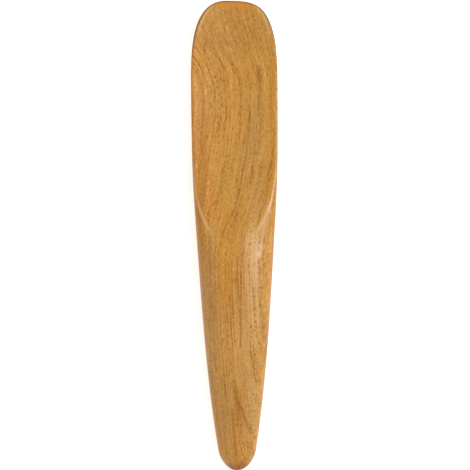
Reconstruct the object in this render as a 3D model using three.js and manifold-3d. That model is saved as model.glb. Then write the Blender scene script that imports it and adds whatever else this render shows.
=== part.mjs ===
// A wooden shoehorn carved from one piece of hardwood: a scooped blade that runs into a rounded,
// tapering grip. It lies on the narrow flat sanded along its back, with the scoop facing up (+Z),
// the blade's tip at +Y and the butt of the grip at -Y. Millimetres.
//
// It is made the way the real one is. A blank is shaped with its full outline and rounded front,
// its back is flattened, and a gouge cut then hollows the blade. The V-shaped throat is where
// that cut runs out through the grip's rounded front.

import * as THREE from "three";
import { mergeVertices } from "three/addons/utils/BufferGeometryUtils.js";
import Module from "manifold-3d";

// Plan view. Distances along the part are taken from the tip.
const LENGTH = 185;
const BLADE_WIDTH = 34.1;
const SHOULDER_WIDTH = 33.2; // where the blade starts to narrow
const THROAT_WIDTH = 30.1; // at the foot of the scoop
const GRIP_WIDTH = 23.7; // half way down the grip
const BUTT_WIDTH = 14.8; // where the end of the grip starts to round over
const END_WIDTH = 12.1; // what the taper would come to at the very end, without its rounding
const SHOULDER_FROM_TIP = 70;
const THROAT_FROM_TIP = 97;
const TIP_CORNER = 34.5; // length over which the blade's end rounds in to the tip
const TIP_FULLNESS = 3; // 2 is an ellipse, more is squarer
const BUTT_ROUND = 8;

// Side view
const CREST = 12.4; // thickness of the stock at the throat
const GRIP_DROP = 0.8; // how far the front has fallen below the crest half way down the grip
const BUTT_DROP = 3.6; // and where the butt starts to round over
const END_DROP = 4.6; // and what it would come to at the very end, without the rounding
const WALL = 3; // thickness of the blade along its middle
const TIP_WALL = 2.2;
const TIP_LIFT = 5.5; // how far the tip's back stands off the surface it lies on
const BEND_FROM_TIP = 36; // where the blade starts to lift
const TIP_EDGE = 1.8; // length over which the tip's edge rounds under
const BACK_FLAT = 0.3; // depth sanded off the back to make its flat

// Cross-section
const SCOOP_RADIUS = 70; // of the gouge cut, across the blade
const SCOOP_LOW = 40; // the cut's lowest point, from the tip
const SCOOP_RUNOUT = 1.7; // power of the curve from there up to the throat
const LIP = 1; // height of the blade's edge above its widest line
const WIDEST_AT = 0.44; // height of the grip's widest line, as a share of its thickness
const SECTION_FULLNESS = 2.2; // 2 is an ellipse, more is squarer

const RINGS = 60;
const SIDES = 44;
const SCOOP_STEPS = { across: 14, along: 30 };

/** Smooth line through stations of [distance from the tip, value]. */
function lineThrough(stations) {
  const places = stations.map(([place]) => place);
  const values = stations.map(([, value]) => value);
  const line = new THREE.CubicInterpolant(places, values, 1, new Float64Array(1));
  return (d) => line.evaluate(d)[0];
}

/** Height of a rounded end at `t` of its length: 0 at the end itself, 1 from t = 1 on. */
function rounded(t, fullness = 2) {
  const rest = Math.max(0, 1 - Math.max(0, t));
  return Math.pow(1 - Math.pow(rest, fullness), 1 / fullness);
}

/** Signed power, which turns a circle's sine or cosine into a superellipse's. */
function squarer(value, fullness) {
  return Math.sign(value) * Math.pow(Math.abs(value), 2 / fullness);
}

const gripMiddle = (THROAT_FROM_TIP + LENGTH) / 2;
const buttStart = LENGTH - BUTT_ROUND;

const taper = lineThrough([
  [0, BLADE_WIDTH / 2],
  [SCOOP_LOW, BLADE_WIDTH / 2],
  [SHOULDER_FROM_TIP, SHOULDER_WIDTH / 2],
  [THROAT_FROM_TIP, THROAT_WIDTH / 2],
  [gripMiddle, GRIP_WIDTH / 2],
  [buttStart, BUTT_WIDTH / 2],
  [LENGTH, END_WIDTH / 2],
]);

const crest = lineThrough([
  [0, CREST],
  [THROAT_FROM_TIP, CREST],
  [gripMiddle, CREST - GRIP_DROP],
  [buttStart, CREST - BUTT_DROP],
  [LENGTH, CREST - END_DROP],
]);

/** Half the outline's width. */
function halfWidth(d) {
  const tip = rounded(d / TIP_CORNER, TIP_FULLNESS);
  const butt = rounded((LENGTH - d) / BUTT_ROUND);
  return taper(d) * tip * butt;
}

/** How far the blade has lifted towards the tip: 0 at the bend, 1 at the tip. */
function bend(d) {
  return THREE.MathUtils.smoothstep(BEND_FROM_TIP - d, 0, BEND_FROM_TIP);
}

/** Height of the back along its middle, before the flat is sanded. */
function backLine(d) {
  return TIP_LIFT * bend(d) - BACK_FLAT;
}

/** Height of the gouge cut along its middle. */
function scoopFloor(d) {
  const tipRise = (TIP_LIFT + TIP_WALL - WALL) * bend(d);
  const run = Math.max(0, (d - SCOOP_LOW) / (THROAT_FROM_TIP - SCOOP_LOW));
  return WALL + tipRise + (CREST - WALL) * Math.pow(run, SCOOP_RUNOUT);
}

/** Height of the gouge cut at any point. */
function scoopHeight(x, d) {
  return scoopFloor(d) + (x * x) / (2 * SCOOP_RADIUS);
}

/** Height of the widest line: it follows the lip along the blade and the grip's own line below. */
function widestLine(d) {
  const lip = scoopHeight(halfWidth(d), d) - LIP;
  const onBlade = THREE.MathUtils.smoothstep(THROAT_FROM_TIP - d, 0, THROAT_FROM_TIP - SCOOP_LOW);
  return THREE.MathUtils.lerp(WIDEST_AT * crest(d), lip, onBlade);
}

/** The blank: a sphere whose poles are the tip and the butt, moved onto the part's sections. */
function shapeBlank() {
  const geometry = new THREE.SphereGeometry(1, SIDES, RINGS);
  const place = geometry.getAttribute("position");
  for (let i = 0; i < place.count; i++) {
    const ring = Math.hypot(place.getX(i), place.getZ(i));
    const d = (LENGTH * (1 - place.getY(i))) / 2;
    const across = ring > 1e-6 ? squarer(place.getX(i) / ring, SECTION_FULLNESS) : 0;
    const up = ring > 1e-6 ? squarer(place.getZ(i) / ring, SECTION_FULLNESS) : 0;
    const middle = widestLine(d);
    const reach = up > 0 ? crest(d) - middle : middle - backLine(d);
    const ends = rounded(d / TIP_EDGE) * rounded((LENGTH - d) / BUTT_ROUND);
    place.setXYZ(i, halfWidth(d) * across, LENGTH / 2 - d, middle + reach * ends * up);
  }
  return geometry;
}

/** The gouge cut: a block over the blade whose underside is the scoop's surface. */
function shapeScoop() {
  const past = 2;
  const runOut = 6; // past the throat, where the cut is already clear of the grip
  const width = Math.max(BLADE_WIDTH, SHOULDER_WIDTH, THROAT_WIDTH) + 2 * past;
  const length = past + THROAT_FROM_TIP + runOut;
  const steps = SCOOP_STEPS;
  const geometry = new THREE.BoxGeometry(width, length, 1, steps.across, steps.along, 1);
  const place = geometry.getAttribute("position");
  const lid = scoopHeight(width / 2, THROAT_FROM_TIP + runOut) + past;
  for (let i = 0; i < place.count; i++) {
    const x = place.getX(i);
    const d = length / 2 - past - place.getY(i);
    const z = place.getZ(i) > 0 ? lid : scoopHeight(x, d);
    place.setXYZ(i, x, LENGTH / 2 - d, z);
  }
  return geometry;
}

/** What is sanded off the back: everything under the surface the part lies on. */
function shapeSanding() {
  const geometry = new THREE.BoxGeometry(2 * BLADE_WIDTH, 2 * LENGTH, CREST);
  geometry.translate(0, 0, -CREST / 2);
  return geometry;
}

const wasm = await Module();
wasm.setup();

/** Closed three.js geometry as a solid that can be cut. */
function solidOf(geometry) {
  const bare = geometry.clone();
  bare.deleteAttribute("normal");
  bare.deleteAttribute("uv");
  const merged = mergeVertices(bare, 1e-5);
  const corners = merged.getIndex().array;
  const triVerts = [];
  for (let i = 0; i < corners.length; i += 3) {
    const [a, b, c] = [corners[i], corners[i + 1], corners[i + 2]];
    if (a !== b && b !== c && c !== a) triVerts.push(a, b, c);
  }
  const mesh = new wasm.Mesh({
    numProp: 3,
    vertProperties: Float32Array.from(merged.getAttribute("position").array),
    triVerts: Uint32Array.from(triVerts),
  });
  return new wasm.Manifold(mesh);
}

/** The solid's surface as three.js geometry. */
function geometryOf(solid) {
  const { vertProperties, triVerts } = solid.getMesh();
  const geometry = new THREE.BufferGeometry();
  geometry.setAttribute("position", new THREE.BufferAttribute(vertProperties, 3));
  geometry.setIndex(new THREE.BufferAttribute(triVerts, 1));
  geometry.computeVertexNormals();
  return geometry;
}

const oiledWood = new THREE.MeshStandardMaterial({
  color: new THREE.Color("rgb(193, 141, 75)"),
  roughness: 0.4,
  metalness: 0,
});

const hollowed = solidOf(shapeBlank()).subtract(solidOf(shapeScoop()));
const carved = hollowed.subtract(solidOf(shapeSanding()));
const shoehorn = new THREE.Group();
const body = new THREE.Mesh(geometryOf(carved), oiledWood);
body.name = "shoehorn_body";
shoehorn.add(body);

export default shoehorn;
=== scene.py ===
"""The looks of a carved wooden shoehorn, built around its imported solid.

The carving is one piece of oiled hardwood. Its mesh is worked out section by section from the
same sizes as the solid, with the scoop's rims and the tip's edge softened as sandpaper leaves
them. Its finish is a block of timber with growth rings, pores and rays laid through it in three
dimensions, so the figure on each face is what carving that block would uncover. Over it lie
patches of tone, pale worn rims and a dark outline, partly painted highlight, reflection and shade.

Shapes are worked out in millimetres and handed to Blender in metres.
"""

from __future__ import annotations

import logging
import math
from collections.abc import Callable, Sequence
from dataclasses import dataclass, field
from enum import Enum
from typing import ClassVar

import bpy
import numpy as np
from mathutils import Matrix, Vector


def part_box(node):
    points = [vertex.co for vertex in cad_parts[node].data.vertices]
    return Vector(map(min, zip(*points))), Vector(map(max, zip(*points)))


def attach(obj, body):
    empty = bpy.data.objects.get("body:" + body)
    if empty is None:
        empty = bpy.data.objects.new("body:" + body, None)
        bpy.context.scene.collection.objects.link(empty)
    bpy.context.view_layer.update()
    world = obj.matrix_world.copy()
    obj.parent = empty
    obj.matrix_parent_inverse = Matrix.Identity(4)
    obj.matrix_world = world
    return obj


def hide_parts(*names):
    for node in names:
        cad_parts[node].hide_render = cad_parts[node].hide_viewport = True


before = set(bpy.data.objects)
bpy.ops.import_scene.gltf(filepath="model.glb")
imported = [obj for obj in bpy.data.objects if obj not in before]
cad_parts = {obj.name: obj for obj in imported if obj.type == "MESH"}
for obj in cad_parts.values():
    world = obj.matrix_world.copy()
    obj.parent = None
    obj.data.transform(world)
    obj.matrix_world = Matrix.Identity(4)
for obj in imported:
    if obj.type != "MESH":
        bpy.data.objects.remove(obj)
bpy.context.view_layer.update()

MM = 0.001
# The least length in millimetres, and the least plain number, that anything is divided by.
LEAST = 1e-3
TINY = 1e-6
WHITE = (1.0, 1.0, 1.0, 1.0)
log = logging.getLogger("shoehorn")

Array = np.ndarray
Line = Callable[[Array], Array]
Socket = bpy.types.NodeSocket


class Slot(Enum):
    """The record's material slots."""

    WOOD = "wood"


class Body(Enum):
    """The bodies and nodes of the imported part."""

    ROOT = "root"
    CARVING = "shoehorn_body"


# ---------------------------------------------------------------- shape


def smooth(t: Array) -> Array:
    """Ease from 0 to 1 with level ends."""
    t = np.clip(t, 0.0, 1.0)
    return t * t * (3 - 2 * t)


def rounded(t: Array, fullness: float = 2.0) -> Array:
    """Height of a rounded end at `t` of its length: 0 at the end, 1 from t = 1 on."""
    rest = np.clip(1 - np.maximum(t, 0), 0, 1)
    return (1 - rest**fullness) ** (1 / fullness)


def soft_max(a: Array, b: Array, reach: Array | float) -> Array:
    """The larger of two distances, with the corner between them rounded over `reach`."""
    corner = np.maximum(reach - np.abs(a - b), 0)
    return np.maximum(a, b) + corner**2 / (4 * reach)


def line_through(stations: Sequence[tuple[float, float]]) -> Line:
    """Make a natural cubic line through a few stations.

    Args:
        stations: Pairs of distance from the tip and value there, both in millimetres.

    Returns:
        A function that gives the line's value at any distance from the tip.
    """
    place, value = (np.array(part, float) for part in zip(*stations))
    last = len(place) - 1
    gap = np.diff(place)
    system = np.eye(last + 1)
    bends = np.zeros(last + 1)
    for i in range(1, last):
        system[i, i - 1 : i + 2] = gap[i - 1], 2 * (gap[i - 1] + gap[i]), gap[i]
        rise = np.diff(value)[i - 1 : i + 1] / gap[i - 1 : i + 1]
        bends[i] = 6 * (rise[1] - rise[0])
    curve = np.linalg.solve(system, bends)

    def line(d: Array) -> Array:
        """Read the line.

        Args:
            d: Distances from the tip.

        Returns:
            The line's value at each of them.
        """
        d = np.clip(d, place[0], place[-1])
        i = np.clip(np.searchsorted(place, d) - 1, 0, last - 1)
        s, g = d - place[i], gap[i]
        slope = (value[i + 1] - value[i]) / g - g * (2 * curve[i] + curve[i + 1]) / 6
        return value[i] + s * slope + s**2 * curve[i] / 2 + s**3 * (curve[i + 1] - curve[i]) / (6 * g)

    return line


@dataclass(frozen=True)
class Outline:
    """The carving seen from the front. Distances run from the tip, in millimetres."""

    length: float
    blade_width: float
    shoulder_width: float = 33.2
    throat_width: float = 30.1
    grip_width: float = 23.7
    butt_width: float = 14.8
    end_width: float = 12.1
    level_to: float = 40.0
    shoulder_at: float = 70.0
    throat_at: float = 97.0
    tip_corner: float = 34.5
    tip_fullness: float = 3.0
    butt_round: float = 8.0
    tip_slant: float = 0.045
    slant_reach: float = 9.0
    slant_fullness: float = 4.0
    side_limit: float = 0.999

    @property
    def grip_middle(self) -> float:
        """Distance from the tip to the middle of the grip."""
        return (self.throat_at + self.length) / 2

    @property
    def butt_start(self) -> float:
        """Distance from the tip to where the butt starts to round over."""
        return self.length - self.butt_round

    def taper(self) -> Line:
        """Half the width without the rounded ends.

        Returns:
            A line that gives it at any distance from the tip.
        """
        widths = [
            (0.0, self.blade_width),
            (self.level_to, self.blade_width),
            (self.shoulder_at, self.shoulder_width),
            (self.throat_at, self.throat_width),
            (self.grip_middle, self.grip_width),
            (self.butt_start, self.butt_width),
            (self.length, self.end_width),
        ]
        return line_through([(at, width / 2) for at, width in widths])

    def half_width(self, d: Array) -> Array:
        """Half the width at each distance from the tip."""
        butt = rounded((self.length - d) / self.butt_round)
        return self.taper()(d) * rounded(d / self.tip_corner, self.tip_fullness) * butt

    def inside(self, x: Array, d: Array) -> Array:
        """Roughly how far each place on the blade lies inside the outline.

        Args:
            x: Place across the part.
            d: Distance from the tip.

        Returns:
            Millimetres in from the nearer of the side and the tip's rounded end.
        """
        share = np.clip(np.abs(x) / self.taper()(d), 0, self.side_limit)
        n = self.tip_fullness
        corner = self.tip_corner * (1 - (1 - share**n) ** (1 / n))
        back = np.maximum(d - corner, LEAST)
        side = np.maximum(self.half_width(d) - np.abs(x), LEAST)
        return 1 / np.hypot(1 / back, 1 / side)

    def out_of_square(self, x: Array, d: Array) -> Array:
        """How far the tip's end stands forward at x, because it was cut slightly out of square."""
        middle = np.exp(-((x / self.slant_reach) ** self.slant_fullness))
        return -self.tip_slant * x * middle * smooth(1 - d / self.tip_corner)


@dataclass(frozen=True)
class Profile:
    """The carving seen from the side, in millimetres above what it lies on."""

    outline: Outline
    crest: float
    grip_drop: float = 0.8
    butt_drop: float = 3.6
    end_drop: float = 4.6
    wall: float = 3.0
    tip_wall: float = 2.2
    tip_lift: float = 5.5
    bend_at: float = 36.0
    back_flat: float = 0.3
    scoop_radius: float = 70.0
    scoop_low: float = 40.0
    scoop_runout: float = 1.7
    lip: float = 1.0
    widest_at: float = 0.44
    cut_lean: float = 0.03

    def front(self, d: Array) -> Array:
        """Height of the stock's front along its middle, before it is scooped.

        Args:
            d: Distances from the tip.

        Returns:
            The height at each of them.
        """
        shape = self.outline
        heights = [
            (0.0, self.crest),
            (shape.throat_at, self.crest),
            (shape.grip_middle, self.crest - self.grip_drop),
            (shape.butt_start, self.crest - self.butt_drop),
            (shape.length, self.crest - self.end_drop),
        ]
        return line_through(heights)(d)

    def bend(self, d: Array) -> Array:
        """How far the blade has lifted: 0 at the bend, 1 at the tip."""
        return smooth((self.bend_at - d) / self.bend_at)

    def back(self, d: Array) -> Array:
        """Height of the back along its middle, before its flat is sanded."""
        return self.tip_lift * self.bend(d) - self.back_flat

    def lean(self, d: Array) -> Array:
        """Slope across the cut towards the throat, where the gouge was held a little tilted."""
        return self.cut_lean * smooth((d - self.scoop_low) / self.scoop_low)

    def scoop(self, x: Array, d: Array) -> Array:
        """Height of the gouge cut."""
        return self.level_scoop(x, d) + self.lean(d) * x

    def level_scoop(self, x: Array, d: Array) -> Array:
        """Height that the cut would have if the gouge had been held level.

        Args:
            x: Place across the part.
            d: Distance from the tip.

        Returns:
            The height of the cut there.
        """
        run = np.maximum(0, (d - self.scoop_low) / (self.outline.throat_at - self.scoop_low))
        tip_rise = (self.tip_lift + self.tip_wall - self.wall) * self.bend(d)
        floor = self.wall + tip_rise + (self.crest - self.wall) * run**self.scoop_runout
        return floor + x**2 / (2 * self.scoop_radius)

    def widest(self, d: Array) -> Array:
        """Height of the widest line, which follows the lip along the blade.

        Args:
            d: Distances from the tip.

        Returns:
            The height at each of them.
        """
        throat = self.outline.throat_at
        share = smooth((throat - d) / (throat - self.scoop_low))
        lip = self.level_scoop(self.outline.half_width(d), d) - self.lip
        return self.widest_at * self.front(d) * (1 - share) + lip * share


@dataclass(frozen=True)
class Ripple:
    """One slow wave in a surface shaped by hand, in radians and radians to the millimetre.

    `share` is its part of the whole depth. Its crests bow to and fro across the part by `bow`.
    """

    share: float
    along: float
    across: float = 0.0
    up: float = 0.0
    start: float = 0.0
    bow: float = 0.0
    bow_across: float = 0.11

    def height(self, x: Array, y: Array, z: Array) -> Array:
        """Height of the wave.

        Args:
            x: Place across the part.
            y: Place along it.
            z: Height.

        Returns:
            The wave there, from minus its share to its share.
        """
        bowed = self.along * y + self.bow * np.sin(self.bow_across * x)
        return self.share * np.sin(bowed + self.across * x + self.up * z + self.start)


@dataclass(frozen=True)
class Sanding:
    """How far each corner is rounded, and how unevenly the faces were sanded, in millimetres."""

    rim: float = 1.2
    foot: float = 2.8
    foot_from: float = 62.0
    throat: float = 3.8
    throat_spread: float = 6.0
    rim_limit: float = 0.9
    back: float = 0.5
    tip_edge: float = 1.8
    # These four set the painted shade along the outline.
    edge: float = 0.6
    edge_to: float = 24.0
    edge_ease: float = 12.0
    edge_share: float = 0.12
    # From here to rim_fade: the pale rim line, wear with a painted highlight on rims and tip corners.
    line: float = 0.42
    inside: float = 1.3
    side_share: float = 0.08
    corner_to: float = 18.0
    corner_from: float = 6.0
    corner_ease: float = 4.0
    rim_from: float = 58.0
    rim_to: float = 94.0
    rim_ease: float = 10.0
    rim_fade: float = 6.0
    hand: float = 0.07
    hand_rise: float = 2.0
    hand_ends: float = 6.0
    ripples: tuple[Ripple, ...] = (
        Ripple(1.0, along=2 * math.pi / 31.0, bow=1.7),
        Ripple(0.6, along=2.3 * 2 * math.pi / 31.0, across=0.23, start=2.0),
        Ripple(0.5, along=0.05, across=0.37, up=0.31),
    )

    def rim_reach(self, d: Array, throat_at: float) -> Array:
        """Rounding of the scoop's rim, softest where the cut runs out at the throat.

        Args:
            d: Distances from the tip.
            throat_at: Distance from the tip to the throat.

        Returns:
            How far the rounding reaches at each distance.
        """
        near = np.exp(-(((d - throat_at) / self.throat_spread) ** 2))
        foot = self.foot * smooth((d - self.foot_from) / (throat_at - self.foot_from))
        return self.rim + np.maximum(foot - self.rim, 0) + (self.throat - self.foot) * near

    def unevenness(self, x: Array, y: Array, z: Array) -> Array:
        """Slow swell of a surface shaped by hand."""
        return self.hand * sum(ripple.height(x, y, z) for ripple in self.ripples)


@dataclass
class CarvedBody:
    """The whole carving: blade, throat, grip and butt in one piece of wood."""

    outline: Outline
    profile: Profile
    sanding: Sanding = field(default_factory=Sanding)
    name: str = "carved_shoehorn"
    fullness: float = 2.2
    rings: int = 420
    sides: int = 208
    trace: int = 900
    trace_rounds: int = 10
    trace_step: float = 0.01
    least_slope: float = 0.2
    slope_step: float = 0.05
    least_reach: float = 0.5

    def stock_and_cut(self, x: Array, z: Array, d: Array) -> tuple[Array, Array]:
        """Distances outside the stock's own surface and outside the gouge cut, by section.

        Args:
            x: Place across the part.
            z: Height.
            d: Distance from the tip, broadcast against the other two.

        Returns:
            Two arrays of millimetres, negative inside the wood.
        """
        middle = self.profile.widest(d)
        half = np.maximum(self.outline.half_width(d), LEAST)
        up = np.maximum(self.profile.front(d) - middle, self.least_reach)
        down = np.maximum(middle - self.profile.back(d), self.least_reach)
        reach = np.where(z > middle, up, down)
        across, tall = np.abs(x) / half, np.abs(z - middle) / reach
        n = self.fullness
        size = np.maximum((across**n + tall**n) ** (1 / n), TINY)
        steep = np.hypot((across / size) ** (n - 1) / half, (tall / size) ** (n - 1) / reach)
        stock = (size - 1) / np.maximum(steep, TINY)
        cut = self.profile.scoop(x, d)
        slope_x = x / self.profile.scoop_radius + self.profile.lean(d)
        slope_d = (self.profile.scoop(x, d + self.slope_step) - cut) / self.slope_step
        return stock, (z - cut) / np.sqrt(1 + slope_x**2 + slope_d**2)

    def distance(self, x: Array, z: Array, d: Array) -> Array:
        """Distance outside the carved surface, with every corner rounded.

        Args:
            x: Place across the part.
            z: Height.
            d: Distance from the tip.

        Returns:
            Millimetres, negative inside the wood.
        """
        stock, scooped = self.stock_and_cut(x, z, d)
        rim = self.sanding.rim_reach(d, self.outline.throat_at)
        half = np.maximum(self.outline.half_width(d), LEAST)
        shape = soft_max(stock, scooped, np.minimum(rim, self.sanding.rim_limit * half))
        return soft_max(shape, -z, self.sanding.back)

    def section(self, d: Array) -> tuple[Array, Array]:
        """Trace the sections at several places and space their points evenly.

        Args:
            d: Distances from the tip, one for each section.

        Returns:
            Arrays of x and z, one row for each section, starting under the middle of the back.
        """
        d = d[:, None]
        angle = np.linspace(-math.pi / 2, 1.5 * math.pi, self.trace, endpoint=False)[None, :]
        cos, sin = np.cos(angle), np.sin(angle)
        across = np.sign(cos) * np.abs(cos) ** (2 / self.fullness)
        tall = np.sign(sin) * np.abs(sin) ** (2 / self.fullness)
        middle = self.profile.widest(d)
        reach = np.where(
            tall > 0, self.profile.front(d) - middle, middle - self.profile.back(d)
        )
        # The rough curve is drawn first, then each point is moved onto the rounded surface.
        x = self.outline.half_width(d) * across
        z = np.maximum(np.minimum(middle + reach * tall, self.profile.scoop(x, d)), 0)
        step = self.trace_step
        for _ in range(self.trace_rounds):
            here = self.distance(x, z, d)
            gx = (self.distance(x + step, z, d) - here) / step
            gz = (self.distance(x, z + step, d) - here) / step
            size = np.maximum(gx**2 + gz**2, self.least_slope)
            x, z = x - here * gx / size, z - here * gz / size
        return self.spaced(x, z)

    def spaced(self, x: Array, z: Array) -> tuple[Array, Array]:
        """Space each closed section's points evenly along it.

        Args:
            x: One row of places across for each section.
            z: Their heights.

        Returns:
            The same curves with `sides` points each.
        """
        even_x = np.empty((len(x), self.sides))
        even_z = np.empty_like(even_x)
        share = np.arange(self.sides) / self.sides
        for i, (row_x, row_z) in enumerate(zip(x, z)):
            loop_x, loop_z = np.append(row_x, row_x[0]), np.append(row_z, row_z[0])
            run = np.append(0, np.cumsum(np.hypot(np.diff(loop_x), np.diff(loop_z))))
            even_x[i] = np.interp(share * run[-1], run, loop_x)
            even_z[i] = np.interp(share * run[-1], run, loop_z)
        return even_x, even_z

    def points(self) -> tuple[Array, dict[str, Array]]:
        """Work out the carving's surface.

        Returns:
            The points, in millimetres, first the tip, then ring by ring, then the butt; and what
            the finish needs to know about each of them, from 0 to 1, by name.
        """
        length, sanding = self.outline.length, self.sanding
        turn = np.linspace(0, math.pi, self.rings + 1)[1:-1]
        d = length * (1 - np.cos(turn)) / 2
        x, z = self.section(d)
        d = d[:, None]
        middle = self.profile.widest(d)
        ends = rounded(d / sanding.tip_edge) * rounded((length - d) / self.outline.butt_round)
        z = middle + (z - middle) * ends
        y = length / 2 - d + self.outline.out_of_square(x, d)
        swell = sanding.unevenness(x, y, z) * smooth(z / sanding.hand_rise)
        swell = swell * smooth(d / sanding.hand_ends)
        z = z - np.abs(swell) * np.sign(z - middle) * smooth((length - d) / sanding.hand_ends)
        # Pale rims, wear with a painted highlight, and the painted shade along the outline.
        wear, edge = self.rim_wear_and_highlight(x, z, d), self.edge_shade(x, d)
        tip = [0, length / 2, self.profile.widest(np.array([0.0]))[0]]
        butt = [0, -length / 2, self.profile.widest(np.array([length]))[0]]
        rows = np.stack([x, np.broadcast_to(y, x.shape), z], axis=-1).reshape(-1, 3)
        tones = {
            OiledHardwood.rim_name: np.concatenate([[0.0], wear.ravel(), [0.0]]),
            OiledHardwood.edge_shade_name: np.concatenate([[1.0], edge.ravel(), [1.0]]),
        }
        return np.vstack([tip, rows, butt]), tones

    def rim_wear_and_highlight(self, x: Array, z: Array, d: Array) -> Array:
        """How pale each point is along the rims and tip corners: wear plus painted highlight.

        Args:
            x: Place across the part.
            z: Height.
            d: Distance from the tip.

        Returns:
            Wear with painted highlight, from 0 to 1.
        """
        wear = self.sanding
        stock, scooped = self.stock_and_cut(x, z, d)
        on_blade = smooth((wear.rim_from - d) / wear.rim_ease)
        off = (stock - scooped + wear.inside * on_blade) / wear.line
        corner = smooth((wear.corner_to - d) / wear.rim_ease)
        corner = corner * smooth((np.abs(x) - wear.corner_from) / wear.corner_ease)
        rim = smooth((d - wear.rim_from) / wear.rim_ease)
        rim = rim * smooth((wear.rim_to - d) / wear.rim_fade)
        return np.exp(-(off**2)) * np.maximum(wear.side_share, np.maximum(corner, rim))

    def edge_shade(self, x: Array, d: Array) -> Array:
        """Painted shade along the outline where the edge turns away, darkest round the tip.

        Args:
            x: Place across the part.
            d: Distance from the tip.

        Returns:
            Painted shade, from 0 to 1.
        """
        wear = self.sanding
        tip = smooth((wear.edge_to - d) / wear.edge_ease)
        tone = wear.edge_share + (1 - wear.edge_share) * tip
        return np.exp(-((self.outline.inside(x, d) / wear.edge) ** 2)) * tone

    def build(self) -> bpy.types.Object:
        """Make the mesh and put it in the scene.

        Returns:
            The carving's object, at the origin, in metres.
        """
        points, tones = self.points()
        rings, sides = self.rings - 1, self.sides
        ring = 1 + sides * np.arange(rings)[:, None]
        here = ring + np.arange(sides)[None, :]
        after = ring + (np.arange(sides)[None, :] + 1) % sides
        quads = np.stack([here[:-1], here[1:], after[1:], after[:-1]], axis=-1).reshape(-1, 4)
        last = len(points) - 1
        faces = [tuple(q) for q in quads.tolist()]
        faces += [(0, int(a), int(b)) for a, b in zip(here[0], after[0])]
        faces += [(last, int(b), int(a)) for a, b in zip(here[-1], after[-1])]
        mesh = bpy.data.meshes.new(self.name)
        mesh.from_pydata((points * MM).tolist(), [], faces)
        mesh.validate()
        mesh.polygons.foreach_set("use_smooth", np.ones(len(mesh.polygons), bool))
        for name, values in tones.items():
            tone = mesh.attributes.new(name, "FLOAT", "POINT")
            tone.data.foreach_set("value", values.astype(np.float32))
        piece = bpy.data.objects.new(self.name, mesh)
        bpy.context.scene.collection.objects.link(piece)
        return piece

    def dress(self, piece: bpy.types.Object, finish: OiledHardwood) -> None:
        """Give the carving its finish and tell the frame what it stands for.

        Args:
            piece: The carving's object.
            finish: The finish that it gets.
        """
        piece.data.materials.append(finish.build())
        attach(piece, Body.ROOT.value)
        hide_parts(Body.CARVING.value)


# ---------------------------------------------------------------- finish


def linear(red: int, green: int, blue: int) -> tuple[float, float, float, float]:
    """Turn an everyday colour into the linear colour that a shader takes.

    Args:
        red: Red, from 0 to 255.
        green: Green, from 0 to 255.
        blue: Blue, from 0 to 255.

    Returns:
        Linear red, green and blue from 0 to 1, and full opacity.
    """
    parts = [c / 255 for c in (red, green, blue)]
    low = [c / 12.92 if c <= 0.04045 else ((c + 0.055) / 1.055) ** 2.4 for c in parts]
    return low[0], low[1], low[2], 1.0


class Sum(Enum):
    """What one Math or Vector Math node works out."""

    ADD = "ADD"
    SUBTRACT = "SUBTRACT"
    MULTIPLY = "MULTIPLY"
    MULTIPLY_ADD = "MULTIPLY_ADD"
    MAXIMUM = "MAXIMUM"
    MINIMUM = "MINIMUM"
    SQRT = "SQRT"
    ABSOLUTE = "ABSOLUTE"
    SINE = "SINE"
    DOT_PRODUCT = "DOT_PRODUCT"
    LENGTH = "LENGTH"
    SCALE = "SCALE"


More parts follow.
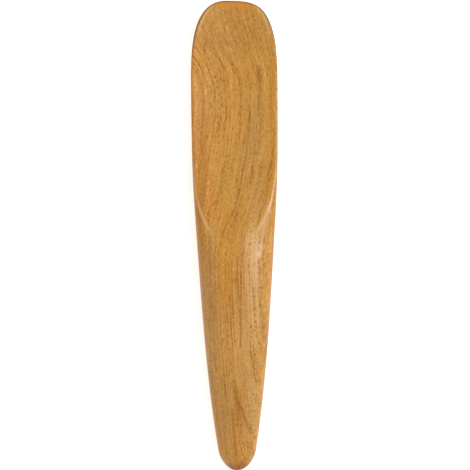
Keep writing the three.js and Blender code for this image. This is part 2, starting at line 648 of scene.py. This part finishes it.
class NodeSheet:
    """Writes a shader's node tree as plain sums."""

    def __init__(self, tree: bpy.types.NodeTree) -> None:
        """Start on an empty tree."""
        self.tree = tree
        tree.nodes.clear()

    def node(self, kind: str, **settings: object) -> bpy.types.Node:
        """Add a node.

        Args:
            kind: Blender's name for this kind of node.
            settings: The node's own properties.

        Returns:
            The node.
        """
        made = self.tree.nodes.new(kind)
        for key, value in settings.items():
            setattr(made, key, value)
        return made

    def feed(self, target: Socket, value: Socket | float | Sequence[float]) -> None:
        """Link a socket to the target, or set the target's own value.

        Args:
            target: The input to fill.
            value: What to fill it with.
        """
        if isinstance(value, bpy.types.NodeSocket):
            self.tree.links.new(value, target)
        else:
            target.default_value = value

    def math(self, work: Sum, *values: Socket | float) -> Socket:
        """Add one Math node.

        Args:
            work: What it works out.
            values: Its inputs, in order.

        Returns:
            Its result.
        """
        made = self.node("ShaderNodeMath", operation=work.value)
        for target, value in zip(made.inputs, values):
            self.feed(target, value)
        return made.outputs[0]

    def total(self, *terms: tuple[Socket, float]) -> Socket:
        """Add sockets up.

        Args:
            terms: Each socket with its weight.

        Returns:
            The sum.
        """
        running: Socket | float = 0.0
        for value, weight in terms:
            running = self.math(Sum.MULTIPLY_ADD, value, weight, running)
        return running

    def far(self, across: Socket, up: Socket) -> Socket:
        """Distance from nothing of a place in a plane.

        Args:
            across: How far the place is one way.
            up: How far it is the other way.

        Returns:
            How far it is in all.
        """
        squares = ((self.math(Sum.MULTIPLY, way, way), 1.0) for way in (across, up))
        return self.math(Sum.SQRT, self.total(*squares))

    def ramp(
        self, value: Socket, low: float, high: float, start: float = 0.0, end: float = 1.0
    ) -> Socket:
        """Ease a value from `start` at `low` to `end` at `high`.

        Args:
            value: The value that is eased.
            low: Where the ease starts.
            high: Where it ends, above or below `low`.
            start: What is given before the ease.
            end: What is given after it.

        Returns:
            The eased value.
        """
        made = self.node("ShaderNodeMapRange", interpolation_type="SMOOTHSTEP")
        for target, number in zip(made.inputs, (value, low, high, start, end)):
            self.feed(target, number)
        return made.outputs[0]

    def place(self, x: Socket | float, y: Socket | float, z: Socket | float) -> Socket:
        """Put three numbers together.

        Args:
            x: The first.
            y: The second.
            z: The third.

        Returns:
            One place.
        """
        made = self.node("ShaderNodeCombineXYZ")
        for target, value in zip(made.inputs, (x, y, z)):
            self.feed(target, value)
        return made.outputs[0]

    def stretched(
        self, x: Socket, y: Socket, z: Socket, across: float, along: float
    ) -> Socket:
        """Measure a place in long cells.

        Args:
            x: Place across the part.
            y: Place along it.
            z: Height.
            across: Width and height of a cell.
            along: Length of a cell.

        Returns:
            The place, counted in cells.
        """
        return self.place(
            self.math(Sum.MULTIPLY, x, 1 / across),
            self.math(Sum.MULTIPLY, y, 1 / along),
            self.math(Sum.MULTIPLY, z, 1 / across),
        )

    def vector(self, work: Sum, *values: Socket | Sequence[float]) -> bpy.types.Node:
        """Add one Vector Math node.

        Args:
            work: What it works out.
            values: Its inputs, in order.

        Returns:
            The node, whose outputs hold the result.
        """
        made = self.node("ShaderNodeVectorMath", operation=work.value)
        for target, value in zip(made.inputs, values):
            self.feed(target, value)
        return made

    def scaled(self, value: Socket | Sequence[float], size: Socket | float) -> Socket:
        """Lengthen a direction or place.

        Args:
            value: The direction or place.
            size: How many times longer it gets.

        Returns:
            The longer one.
        """
        made = self.vector(Sum.SCALE, value)
        self.feed(made.inputs["Scale"], size)
        return made.outputs[0]

    def noise(self, place: Socket, detail: float = 2.0, rough: float = 0.5) -> Socket:
        """Cloudy noise around 0.5.

        Args:
            place: Where, counted in cells.
            detail: How many finer layers it has.
            rough: How strong each is beside the one before.

        Returns:
            The noise there.
        """
        made = self.node("ShaderNodeTexNoise")
        self.feed(made.inputs["Vector"], place)
        made.inputs["Scale"].default_value = 1.0
        made.inputs["Detail"].default_value = detail
        made.inputs["Roughness"].default_value = rough
        return made.outputs["Fac"]

    def blend(self, share: Socket, first: Socket | tuple, second: Socket | tuple) -> Socket:
        """Mix two colours.

        Args:
            share: How much of the second there is.
            first: The one that shows at 0.
            second: The one that shows at 1.

        Returns:
            The mixed colour.
        """
        made = self.node("ShaderNodeMix", data_type="RGBA")
        # A Mix node holds a set of sockets for each kind of value. Its colours are A, B and the
        # third output.
        for target, value in zip((made.inputs[0], *made.inputs[6:8]), (share, first, second)):
            self.feed(target, value)
        return made.outputs[2]


@dataclass(frozen=True)
class Grain:
    """How the timber lies at a point, as sockets.

    x, y and z are its place in the part, `ring` how far it is out from the heart and `side` how
    far round it, all in millimetres. `cloud` is a slow change of tone from 0 to 1, and `streak`
    the same drawn out along the grain.
    """

    x: Socket
    y: Socket
    z: Socket
    ring: Socket
    side: Socket
    cloud: Socket
    streak: Socket


@dataclass(frozen=True)
class Timber:
    """How the block of wood lies around the carving, in millimetres.

    The rings drift across the part along its length. Between `twist_to` and `twist_from` they
    also fan out, most at the sides, and they drift more again near the tip. Each `cell` is the
    width and the length of one soft patch.
    """

    ring_lean: float = 1.3
    heart_away: float = 150.0
    drift: float = -0.012
    twist: float = 0.009
    twist_at: float = 22.5
    twist_from: float = 30.0
    twist_to: float = -4.5
    tip_drift: float = 1.2
    tip_from: float = 60.0
    tip_to: float = 95.0
    wander: float = 0.45
    wander_cell: tuple[float, float] = (40.0, 60.0)
    flutter: float = 0.14
    flutter_cell: tuple[float, float] = (6.0, 17.0)
    cloud_cell: tuple[float, float] = (16.0, 44.0)
    cloud_rough: float = 0.6
    streak_turns: tuple[float, float, float] = (0.6, 0.03, 0.1)

    @property
    def outward(self) -> tuple[float, float]:
        """The way out from the heart of the tree, as shares of +X and +Z."""
        size = math.hypot(1, self.ring_lean)
        return 1 / size, self.ring_lean / size


@dataclass(frozen=True)
class Mark:
    """A small dark fleck or streak in the wood, from one place on the front to another.

    Places are x and y in millimetres, `half` is half the streak's width, and `core` is the share
    of it that has the full strength.
    """

    start: tuple[float, float]
    end: tuple[float, float]
    half: float
    strength: float
    core: float = 0.2

    @staticmethod
    def dot(x: float, y: float, half: float, strength: float) -> Mark:
        """A fleck, a third longer along the grain than across it."""
        return Mark((x, y + half / 3), (x, y - half / 3), half, strength)

    def draw(self, sheet: NodeSheet, flat: Socket) -> Socket:
        """Strength of the mark at a place on the front, from 0 to 1.

        Args:
            sheet: The node tree.
            flat: The place, with no height.

        Returns:
            The mark's strength there.
        """
        run = self.end[0] - self.start[0], self.end[1] - self.start[1]
        length = math.hypot(*run)
        way = (run[0] / length, run[1] / length, 0.0)
        off = sheet.vector(Sum.SUBTRACT, flat, (*self.start, 0.0)).outputs[0]
        along = sheet.vector(Sum.DOT_PRODUCT, off, way).outputs["Value"]
        held = sheet.math(Sum.MAXIMUM, sheet.math(Sum.MINIMUM, along, length), 0.0)
        away = sheet.vector(Sum.SUBTRACT, off, sheet.scaled(way, held)).outputs[0]
        distance = sheet.vector(Sum.LENGTH, away).outputs["Value"]
        return sheet.ramp(distance, self.half, self.half * self.core, 0.0, self.strength)


@dataclass(frozen=True)
class Zone:
    """A soft patch of another tone, in millimetres on the front; a few are painted light or shade.

    `ragged` is how far the grain breaks up its edge. `outer` and `inner` are where it starts and
    where it has its full strength, in shares of its own size.
    """

    x: float
    y: float
    across: float
    along: float
    tone: tuple[int, int, int]
    strength: float
    ragged: float = 0.7
    outer: float = 1.65
    inner: float = 0.75

    def draw(self, sheet: NodeSheet, where: Grain) -> Socket:
        """Strength of the patch at a place.

        Args:
            sheet: The node tree.
            where: How the timber lies there.

        Returns:
            The patch's strength there.
        """
        dx = sheet.math(Sum.MULTIPLY, sheet.math(Sum.SUBTRACT, where.x, self.x), 1 / self.across)
        dy = sheet.math(Sum.MULTIPLY, sheet.math(Sum.SUBTRACT, where.y, self.y), 1 / self.along)
        edge = sheet.total((sheet.far(dx, dy), 1.0), (where.streak, self.ragged))
        return sheet.ramp(edge, self.outer, self.inner, 0.0, self.strength)


@dataclass(frozen=True)
class GrowthMark:
    """One growth ring that shows darker than the rest over part of the length.

    `ring` is its distance out from the heart. `high` and `low` are the y it runs between, and it
    fades over `fade` at each end. It wears down to `least` of its strength in patches as wide and
    long as `cell`, where their noise falls through `worn`.
    """

    ring: float
    half: float
    high: float
    low: float
    strength: float
    fade: float = 3.0
    cell: tuple[float, float] = (4.0, 7.0)
    worn: tuple[float, float] = (0.3, 0.62)
    least: float = 0.3

    def draw(self, sheet: NodeSheet, where: Grain) -> Socket:
        """Strength of the ring at a place.

        Args:
            sheet: The node tree.
            where: How the timber lies there.

        Returns:
            The ring's strength there, from 0 to 1.
        """
        off = sheet.math(Sum.ABSOLUTE, sheet.math(Sum.SUBTRACT, where.ring, self.ring))
        patch = sheet.noise(sheet.stretched(where.x, where.y, where.z, *self.cell), 1.0)
        depth = sheet.ramp(patch, *self.worn, self.least * self.strength, self.strength)
        across = sheet.math(Sum.MULTIPLY, sheet.ramp(off, self.half, 0.0), depth)
        top = sheet.ramp(where.y, self.high, self.high - self.fade)
        foot = sheet.ramp(where.y, self.low, self.low + self.fade)
        return sheet.math(Sum.MULTIPLY, across, sheet.math(Sum.MULTIPLY, top, foot))


@dataclass(frozen=True)
class Cells:
    """Structure in the wood, in cells laid along the timber's own directions, in millimetres.

    A cell is `out` thick from ring to ring, `along` long and `around` wide. `low` and `high` are
    where it starts to show and where it shows in full. `weight` is its share of the whole.
    """

    out: float
    along: float
    around: float
    weight: float
    low: float = 0.0
    high: float = 1.0
    detail: float = 0.0

    def noise(self, sheet: NodeSheet, where: Grain) -> Socket:
        """The cells' noise.

        Args:
            sheet: The node tree.
            where: How the timber lies there.

        Returns:
            Noise around 0.5.
        """
        place = sheet.place(
            sheet.math(Sum.MULTIPLY, where.ring, 1 / self.out),
            sheet.math(Sum.MULTIPLY, where.y, 1 / self.along),
            sheet.math(Sum.MULTIPLY, where.side, 1 / self.around),
        )
        return sheet.noise(place, self.detail)

    def shown(self, sheet: NodeSheet, where: Grain) -> Socket:
        """How far the cells show, from 0 to 1."""
        return sheet.ramp(self.noise(sheet, where), self.low, self.high)


@dataclass(frozen=True)
class Polish:
    """How the oiled surface shines, and how deep the grain lies in it, in millimetres."""

    rough: float = 0.39
    rough_lines: float = 0.05
    rough_pores: float = 0.2
    rough_clouds: float = 0.08
    specular: float = 0.3
    coat: float = 0.2
    coat_rough: float = 0.2
    ior: float = 1.45
    raised_lines: float = 0.35
    bump: float = 0.35
    bump_depth: float = 0.06

    def put_on(self, shader: bpy.types.Node) -> None:
        """Set what is the same all over the surface.

        Args:
            shader: The finish's shader.
        """
        shader.inputs["Specular IOR Level"].default_value = self.specular
        shader.inputs["Coat Weight"].default_value = self.coat
        shader.inputs["Coat Roughness"].default_value = self.coat_rough
        shader.inputs["IOR"].default_value = self.ior


@dataclass(frozen=True)
class OiledHardwood:
    """Golden-brown hardwood, oiled and polished. Colours are everyday ones, from 0 to 255."""

    timber: Timber = Timber()
    polish: Polish = Polish()
    name: str = "oiled_hardwood"
    body: tuple[int, int, int] = (191, 135, 49)
    pale: tuple[int, int, int] = (210, 157, 82)
    # Pale rim tone: worn wood with a painted highlight.
    worn: tuple[int, int, int] = (224, 185, 132)
    dark: tuple[int, int, int] = (152, 97, 4)
    orange: tuple[int, int, int] = (194, 126, 38)
    grey: tuple[int, int, int] = (175, 132, 68)
    pore: tuple[int, int, int] = (130, 76, 6)
    # Painted shade along the outline.
    edge: tuple[int, int, int] = (98, 66, 26)
    body_from: tuple[float, float] = (0.3, 0.55)
    grey_from: tuple[float, float] = (0.5, 0.8)
    grey_share: float = 0.5
    line_span: float = 0.75
    pore_share: float = 0.5
    end_grain: tuple[float, float] = (89.0, 91.0)
    end_share: float = 0.85
    wear_and_highlight_share: float = 0.5
    edge_share: float = 0.9
    line_cells: tuple[Cells, ...] = (
        Cells(3.4, 70.0, 26.0, 0.14),
        Cells(1.7, 46.0, 14.0, 0.18),
        Cells(0.8, 50.0, 8.0, 0.34),
        Cells(0.42, 40.0, 4.0, 0.95),
        Cells(0.36, 5.0, 2.0, 0.7),
        Cells(0.3, 1.1, 1.0, 1.15),
    )
    wave_sizes: tuple[tuple[float, float], ...] = ((1.08, 0.28), (0.61, 0.22))
    wave_push: float = 9.0
    wave_edge: tuple[float, float] = (0.1, 1.0)
    wave_patch: tuple[float, float] = (-0.12, 0.14)
    pore_cells: tuple[Cells, ...] = (
        Cells(0.36, 2.6, 0.36, 0.4, 0.61, 0.72),
        Cells(0.2, 0.9, 0.2, 0.5, 0.58, 0.7),
    )
    ray_cells: Cells = Cells(3.0, 0.7, 0.5, 0.3, 0.5, 0.72, 1.0)
    rim_name: ClassVar[str] = "rim_wear_and_highlight"
    edge_shade_name: ClassVar[str] = "painted_edge_shade"
    marks: tuple[Mark, ...] = (
        Mark.dot(-7.6, 62.8, 0.55, 0.9),
        Mark.dot(6.9, 60.1, 0.5, 0.8),
        Mark.dot(-3.0, 83.4, 0.45, 0.6),
        Mark.dot(-3.6, 81.0, 0.4, 0.6),
        Mark.dot(-2.5, 75.5, 0.5, 0.5),
        Mark.dot(4.9, 49.5, 0.45, 0.6),
        Mark.dot(9.2, 49.9, 0.5, 0.6),
        Mark.dot(11.2, 47.5, 0.45, 0.5),
        Mark.dot(7.5, 37.6, 0.5, 0.6),
        Mark.dot(2.9, 56.6, 0.4, 0.5),
        Mark.dot(-0.6, -17.2, 0.5, 0.6),
        Mark.dot(5.9, 1.6, 0.4, 0.5),
        Mark((9.6, 67.0), (10.4, 62.0), 0.8, 0.28),
        Mark((10.3, 62.0), (9.5, 49.0), 0.45, 0.3),
        Mark((6.9, 27.4), (7.0, 23.0), 0.4, 0.5),
        Mark((-0.6, 10.0), (-5.4, 0.2), 0.6, 0.3),
        Mark((0.6, -8.0), (0.9, -24.0), 0.45, 0.5),
        Mark((2.0, -14.0), (1.6, -43.0), 0.45, 0.5),
        Mark((0.4, -65.0), (2.5, -68.6), 0.45, 0.7),
        Mark((-1.0, -57.2), (1.0, -67.7), 1.5, 0.36),
        Mark((1.4, -67.0), (5.2, -77.0), 1.1, 0.42),
        Mark((-1.8, -68.0), (-0.4, -86.0), 1.0, 0.36),
        Mark((-4.8, -58.0), (-4.4, -62.0), 0.4, 0.5),
    )
    zones: tuple[Zone, ...] = (
        Zone(0.0, -50.0, 30.0, 62.0, (180, 134, 72), 0.5),
        Zone(-2.0, 20.0, 8.0, 16.0, (182, 132, 52), 0.6),
        Zone(8.5, 36.0, 5.0, 24.0, (177, 132, 70), 0.4),
        Zone(8.5, 13.0, 5.0, 9.0, (190, 144, 78), 0.6),
        Zone(-2.0, 80.0, 16.0, 11.0, (176, 125, 52), 0.8),
        # Partly orange wood, partly painted shade that darkens the light's glint on the blade's left
        # lip.
        Zone(-13.8, 26.0, 4.5, 38.0, (182, 115, 16), 0.85),
        # Painted reflection and shade: the grip's left flank greyed and darkened.
        Zone(-10.3, -18.0, 3.4, 24.0, (173, 125, 73), 0.6),
        # Painted reflection: the lower part of the grip's left flank greyed and paled.
        Zone(-9.3, -48.0, 3.0, 14.0, (188, 144, 84), 0.6),
        Zone(-3.6, -9.0, 4.5, 22.0, (190, 128, 30), 0.8),
        Zone(-2.0, -40.0, 4.0, 14.0, (204, 150, 74), 0.5),
        # Partly pale wood, partly painted highlight on the grip's right shoulder.
        Zone(6.8, -20.0, 4.0, 26.0, (206, 166, 106), 0.4),
        # Painted highlight on the throat's right shoulder.
        Zone(6.6, -4.5, 3.4, 8.0, (222, 182, 132), 0.5),
        Zone(11.4, -38.0, 1.8, 14.0, (168, 117, 54), 0.8),
        Zone(0.8, -69.0, 2.8, 10.0, (175, 115, 47), 0.8),
        Zone(-4.6, -66.0, 2.6, 16.0, (167, 123, 70), 0.5),
        Zone(6.2, -66.0, 3.2, 14.0, (180, 140, 84), 0.6),
        Zone(0.5, -84.0, 5.0, 6.0, (189, 130, 53), 0.6),
        # Painted shade where the butt rounds down, away from the light.
        Zone(0.5, -93.6, 7.5, 4.8, (120, 56, 2), 0.95),
        Zone(-13.2, 1.0, 3.2, 16.0, (176, 119, 48), 0.45),
        # Painted shade that tones down the light on the right flank by the throat.
        Zone(13.8, -6.0, 2.4, 22.0, (176, 118, 46), 0.6),
        Zone(9.8, 64.0, 1.3, 3.4, (144, 91, 47), 0.6),
    )
    rings: tuple[GrowthMark, ...] = (
        GrowthMark(157.4, 0.5, 51.0, 6.0, 0.5),
    )

    def build(self) -> bpy.types.Material:
        """Make the material.

        Returns:
            A node material whose colour, roughness and bump come from the wood's own structure.
        """
        made = bpy.data.materials.new(self.name)
        made.use_nodes = True
        made.diffuse_color = linear(*self.body)
        sheet = NodeSheet(made.node_tree)
        shader = sheet.node("ShaderNodeBsdfPrincipled")
        out = sheet.node("ShaderNodeOutputMaterial")
        sheet.feed(out.inputs["Surface"], shader.outputs["BSDF"])
        where = self.lay_out(sheet)
        lines = self.growth_lines(sheet, where)
        pores = sheet.total(*((cells.shown(sheet, where), cells.weight) for cells in self.pore_cells))
        sheet.feed(shader.inputs["Base Color"], self.colour(sheet, where, lines, pores))
        polish = self.polish
        rough = sheet.total(
            (lines, polish.rough_lines), (pores, polish.rough_pores), (where.cloud, polish.rough_clouds)
        )
        sheet.feed(shader.inputs["Roughness"], sheet.math(Sum.ADD, rough, polish.rough))
        sheet.feed(shader.inputs["Normal"], self.relief(sheet, lines, pores))
        polish.put_on(shader)
        return made

    def lay_out(self, sheet: NodeSheet) -> Grain:
        """Lay the timber's own directions through the part.

        Args:
            sheet: The node tree.

        Returns:
            How the timber lies at each point.
        """
        wood = self.timber
        coords = sheet.node("ShaderNodeTexCoord")
        parts = sheet.node("ShaderNodeSeparateXYZ")
        sheet.feed(parts.inputs[0], sheet.scaled(coords.outputs["Object"], 1 / MM))
        x, y, z = parts.outputs
        wander = sheet.noise(sheet.stretched(x, y, z, *wood.wander_cell), 1.0)
        flutter = sheet.noise(sheet.stretched(x, y, z, *wood.flutter_cell), 2.0)
        out_x, out_z = wood.outward
        ax = sheet.math(Sum.ADD, x, wood.heart_away * out_x)
        az = sheet.math(Sum.ADD, z, wood.heart_away * out_z)
        tip = sheet.ramp(y, wood.tip_from, wood.tip_to, 0.0, wood.tip_drift)
        held = sheet.math(Sum.MINIMUM, sheet.math(Sum.MAXIMUM, y, wood.twist_to), wood.twist_from)
        on_blade = sheet.math(Sum.SUBTRACT, held, wood.twist_at)
        turned = sheet.math(Sum.MULTIPLY, x, on_blade)
        ring = sheet.total(
            (sheet.far(ax, az), 1.0), (y, -wood.drift), (turned, -wood.twist * out_x), (tip, 1.0),
            (wander, wood.wander * 2), (flutter, wood.flutter),
        )
        side = sheet.total((x, -out_z), (z, out_x), (wander, wood.wander))
        cloud = sheet.noise(sheet.stretched(x, y, z, *wood.cloud_cell), 2.0, wood.cloud_rough)
        turns = zip((ring, y, side), wood.streak_turns)
        bands = sheet.place(*(sheet.math(Sum.MULTIPLY, way, turn) for way, turn in turns))
        return Grain(x, y, z, ring, side, cloud, streak=sheet.noise(bands, 2.0))

    def growth_lines(self, sheet: NodeSheet, where: Grain) -> Socket:
        """Fine irregular growth lines that follow the rings.

        Args:
            sheet: The node tree.
            where: How the timber lies there.

        Returns:
            A tone around 0, positive where the wood is paler.
        """
        tone = [
            (sheet.math(Sum.SUBTRACT, cells.noise(sheet, where), 0.5), cells.weight)
            for cells in self.line_cells
        ]
        broad = tone[1][0]
        for pitch, weight in self.wave_sizes:
            turn = 2 * math.pi / pitch
            shifted = sheet.total((where.ring, turn), (where.streak, self.wave_push))
            line = sheet.ramp(sheet.math(Sum.SINE, shifted), *self.wave_edge)
            here = sheet.ramp(broad, *self.wave_patch)
            tone.append((sheet.math(Sum.MULTIPLY, line, here), -weight))
        return sheet.total(*tone)

    def flecks(self, sheet: NodeSheet, where: Grain) -> Socket:
        """The few larger dark flecks, and the dark growth rings.

        Args:
            sheet: The node tree.
            where: How the timber lies there.

        Returns:
            Strength of fleck, from 0 to 1.
        """
        flat = sheet.place(where.x, where.y, 0.0)
        strongest: Socket | float = 0.0
        for mark in self.marks:
            strongest = sheet.math(Sum.MAXIMUM, strongest, mark.draw(sheet, flat))
        for ring in self.rings:
            strongest = sheet.math(Sum.MAXIMUM, strongest, ring.draw(sheet, where))
        return strongest

    def carried(self, sheet: NodeSheet, name: str, share: float) -> Socket:
        """A tone from 0 to 1 that the mesh carries point by point, times its share."""
        tone = sheet.node("ShaderNodeAttribute", attribute_name=name).outputs["Fac"]
        return sheet.math(Sum.MULTIPLY, tone, share)

    def colour(self, sheet: NodeSheet, where: Grain, lines: Socket, pores: Socket) -> Socket:
        """Put the wood's colours together, with painted highlight, reflection and shade.

        Args:
            sheet: The node tree.
            where: How the timber lies there.
            lines: Tone of the growth lines, around 0.
            pores: Depth of pore, from 0 to 1.

        Returns:
            The base colour.
        """
        body = sheet.ramp(where.cloud, *self.body_from)
        base = sheet.blend(body, linear(*self.orange), linear(*self.body))
        rays = self.ray_cells.shown(sheet, where)
        layers = (
            (sheet.ramp(where.cloud, *self.grey_from, 0.0, self.grey_share), self.grey),
            # Some zones are painted highlight, reflection or shade; they are marked in their list.
            *((zone.draw(sheet, where), zone.tone) for zone in self.zones),
            (sheet.ramp(lines, 0.0, self.line_span), self.pale),
            (sheet.ramp(lines, 0.0, -self.line_span), self.dark),
            (sheet.math(Sum.MULTIPLY, rays, self.ray_cells.weight), self.pale),
            (sheet.math(Sum.MULTIPLY, pores, self.pore_share), self.pore),
            (self.flecks(sheet, where), self.pore),
            (sheet.ramp(where.y, *self.end_grain, 0.0, self.end_share), self.orange),
            # Pale rims: worn wood with a painted highlight.
            (self.carried(sheet, self.rim_name, self.wear_and_highlight_share), self.worn),
            # Painted shade: a dark line along the outline.
            (self.carried(sheet, self.edge_shade_name, self.edge_share), self.edge),
        )
        for share, tone in layers:
            base = sheet.blend(share, base, linear(*tone))
        return base

    def relief(self, sheet: NodeSheet, lines: Socket, pores: Socket) -> Socket:
        """Open pores and raised grain under the polish.

        Args:
            sheet: The node tree.
            lines: Tone of the growth lines, around 0.
            pores: Depth of pore, from 0 to 1.

        Returns:
            The bumped normal.
        """
        height = sheet.total((pores, -1.0), (lines, self.polish.raised_lines))
        bump = sheet.node("ShaderNodeBump")
        bump.inputs["Strength"].default_value = self.polish.bump
        bump.inputs["Distance"].default_value = self.polish.bump_depth * MM
        sheet.feed(bump.inputs["Height"], height)
        return bump.outputs["Normal"]


# ---------------------------------------------------------------- studio


@dataclass(frozen=True)
class SoftBox:
    """One soft light: where it stands, its size in metres and its power in watts."""

    name: str
    at: tuple[float, float, float]
    size: tuple[float, float]
    power: float

    def build(self) -> None:
        """Put the light in the scene, turned to the part."""
        lamp = bpy.data.lights.new(self.name, "AREA")
        lamp.shape = "RECTANGLE"
        lamp.size, lamp.size_y = self.size
        lamp.energy = self.power
        box = bpy.data.objects.new(self.name, lamp)
        box.location = self.at
        box.rotation_euler = (-box.location).to_track_quat("-Z", "Y").to_euler()
        bpy.context.scene.collection.objects.link(box)


@dataclass(frozen=True)
class Studio:
    """Pale floor, soft light and the camera, in metres. The lens and sensor are in millimetres."""

    floor_size: float = 12.0
    floor_shade: float = 0.9
    floor_glow: float = 0.5
    floor_rough: float = 0.9
    floor_drop: float = 0.02 * MM
    sky: float = 0.72
    side_box: SoftBox = SoftBox("side_box", (0.59, 0.14, 0.79), (0.24, 0.44), 5.2)
    sensor: float = 36.0
    lens: float = 200.0
    frame_share: float = 1.0008
    roll_deg: float = -0.46
    shift: tuple[float, float] = (-0.0002, 0.0004)

    def build(self, low: Vector, high: Vector) -> None:
        """Set up everything that isn't the part.

        Args:
            low: Lowest corner of the part.
            high: Highest corner of the part.
        """
        self.lay_floor()
        self.light()
        self.aim(low, high)

    def lay_floor(self) -> None:
        """Lay a plain pale floor under the part, with a faint glow of its own."""
        half = self.floor_size / 2
        mesh = bpy.data.meshes.new("floor")
        corners = [(-half, -half, 0), (half, -half, 0), (half, half, 0), (-half, half, 0)]
        mesh.from_pydata(corners, [], [(0, 1, 2, 3)])
        floor = bpy.data.objects.new("floor", mesh)
        floor.location.z = -self.floor_drop
        bpy.context.scene.collection.objects.link(floor)
        paper = bpy.data.materials.new("paper")
        paper.use_nodes = True
        shader = paper.node_tree.nodes["Principled BSDF"]
        shader.inputs["Base Color"].default_value = (*[self.floor_shade] * 3, 1.0)
        shader.inputs["Roughness"].default_value = self.floor_rough
        shader.inputs["Specular IOR Level"].default_value = 0.0
        shader.inputs["Emission Color"].default_value = WHITE
        shader.inputs["Emission Strength"].default_value = self.floor_glow
        mesh.materials.append(paper)

    def light(self) -> None:
        """Light the part evenly from all round, and from a soft box on its right."""
        world = bpy.data.worlds.new("studio")
        world.use_nodes = True
        sky = world.node_tree.nodes["Background"]
        sky.inputs["Color"].default_value = WHITE
        sky.inputs["Strength"].default_value = self.sky
        bpy.context.scene.world = world
        self.side_box.build()

    def aim(self, low: Vector, high: Vector) -> None:
        """Look straight down at the front, with the part's length filling the frame.

        Args:
            low: Lowest corner of the part.
            high: Highest corner of the part.
        """
        lens = bpy.data.cameras.new("camera")
        lens.lens, lens.sensor_width = self.lens, self.sensor
        camera = bpy.data.objects.new("camera", lens)
        middle = (low + high) / 2
        span = (high.y - low.y) / self.frame_share
        away = span * self.lens / self.sensor
        camera.location = (middle.x + self.shift[0], middle.y + self.shift[1], middle.z + away)
        camera.rotation_euler = (0.0, 0.0, math.radians(self.roll_deg))
        bpy.context.scene.collection.objects.link(camera)
        bpy.context.scene.camera = camera


def main() -> None:
    """Build the shoehorn and its studio, and report each piece."""
    logging.basicConfig(level=logging.INFO, format="%(name)s: %(message)s")
    bpy.context.scene.view_settings.view_transform = "Standard"
    low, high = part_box(Body.CARVING.value)
    size = (high - low) / MM
    outline = Outline(length=size.y, blade_width=size.x)
    carving = CarvedBody(outline, Profile(outline, crest=high.z / MM))
    piece = carving.build()
    carving.dress(piece, OiledHardwood())
    log.info("%s: %d points, %.0f mm long", piece.name, len(piece.data.vertices), size.y)
    Studio().build(low, high)
    log.info("studio: floor, soft box and camera")


if __name__ == "__main__":
    main()
